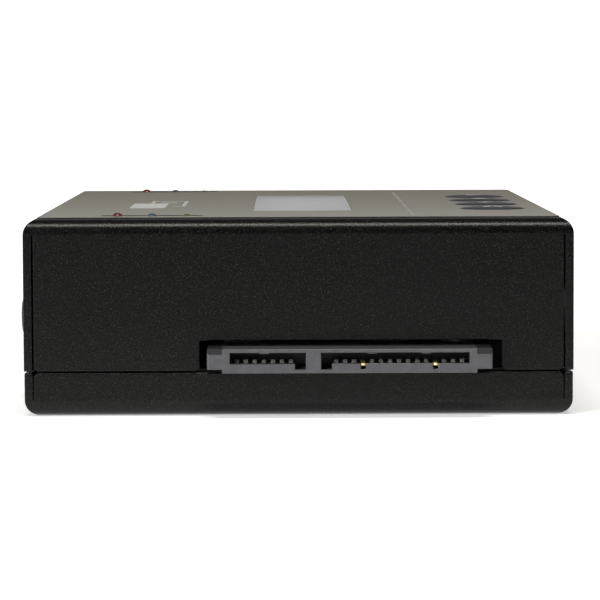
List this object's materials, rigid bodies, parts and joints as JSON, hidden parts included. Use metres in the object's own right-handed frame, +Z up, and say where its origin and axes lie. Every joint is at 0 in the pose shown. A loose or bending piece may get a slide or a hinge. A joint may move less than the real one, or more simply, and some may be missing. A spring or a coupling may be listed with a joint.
{
  "type": "drive duplicator",
  "caption": "Pocket standalone drive duplicator: folded steel box with a drive receptacle in each end, and display, keys and lamps on top.",
  "frame": {"origin": "centre of the folded tray's flat underside, where the box stands", "axes": "+X towards the side with the keys, +Y from the source end to the target end, +Z up out of the panel"},
  "size_m": [0.0803, 0.1172, 0.0286],
  "materials": {
    "powder_coat": "fine textured black powder coat on sheet steel",
    "film_print": "satin dark printed film",
    "clear_window": "clear polished plastic",
    "display_metal": "satin black",
    "display_cell": "dark glossy liquid crystal cell",
    "light_guide": "white diffuser",
    "board_mask": "black solder mask",
    "zinc_steel": "blackened steel",
    "plated_spacer": "nickel plated",
    "contact_gold": "gold plated",
    "black_plastic": "moulded black",
    "port_plastic": "moulded dark grey",
    "key_rubber": "matte dark navy",
    "lamp_red": "tinted clear, unlit",
    "lamp_blue": "tinted clear, unlit",
    "lamp_green": "tinted clear, unlit",
    "tinned_wire": "tin plated",
    "white_plastic": "moulded white",
    "button_plastic": "moulded black, satin",
    "chip_epoxy": "moulded black epoxy",
    "crystal_can": "drawn can",
    "ferrite": "grey ferrite",
    "can_aluminium": "drawn can"
  },
  "bodies": {
    "chassis": {"base_tray": "powder_coat", "blue_lamps": "lamp_blue", "board_header": "black_plastic", "board_socket": "black_plastic", "case_screws": "zinc_steel", "controller_chip": "chip_epoxy", "cover_standoffs": "plated_spacer", "crystal": "crystal_can", "display_backlight": "light_guide", "display_frame": "display_metal", "display_glass": "display_cell", "display_window": "clear_window", "flash_chip": "chip_epoxy", "green_lamps": "lamp_green", "header_pins": "contact_gold", "key_switches": "black_plastic", "lamp_leads": "tinned_wire", "lower_spacers": "plated_spacer", "main_board": "board_mask", "memory_chip": "chip_epoxy", "middle_spacers": "plated_spacer", "panel_board": "board_mask", "panel_film": "film_print", "power_inductors": "ferrite", "power_inlet": "black_plastic", "power_inlet_pin": "tinned_wire", "power_switch": "black_plastic", "red_lamps": "lamp_red", "regulators": "chip_epoxy", "source_contacts": "contact_gold", "source_receptacle": "port_plastic", "storage_capacitor": "can_aluminium", "target_contacts": "contact_gold", "target_receptacle": "port_plastic", "top_cover": "powder_coat"},
    "cancel_key": {"cancel_key_cap": "key_rubber", "cancel_key_plunger": "white_plastic"},
    "down_key": {"down_key_cap": "key_rubber", "down_key_plunger": "white_plastic"},
    "up_key": {"up_key_cap": "key_rubber", "up_key_plunger": "white_plastic"},
    "enter_key": {"enter_key_cap": "key_rubber", "enter_key_plunger": "white_plastic"},
    "power_button": {"power_button_cap": "button_plastic", "power_switch_shaft": "white_plastic"}
  },
  "joints": [
    {"name": "cancel_key_press", "type": "slide", "parent": "chassis", "child": "cancel_key", "axis": [0, 0, -1], "range_m": [0, 0.0005], "stiffness_N_per_m": 1500},
    {"name": "down_key_press", "type": "slide", "parent": "chassis", "child": "down_key", "axis": [0, 0, -1], "range_m": [0, 0.0005], "stiffness_N_per_m": 1500},
    {"name": "up_key_press", "type": "slide", "parent": "chassis", "child": "up_key", "axis": [0, 0, -1], "range_m": [0, 0.0005], "stiffness_N_per_m": 1500},
    {"name": "enter_key_press", "type": "slide", "parent": "chassis", "child": "enter_key", "axis": [0, 0, -1], "range_m": [0, 0.0005], "stiffness_N_per_m": 1500},
    {"name": "power_button_press", "type": "slide", "parent": "chassis", "child": "power_button", "axis": [1, 0, 0], "range_m": [0, 0.0018], "stiffness_N_per_m": 600}
  ]
}
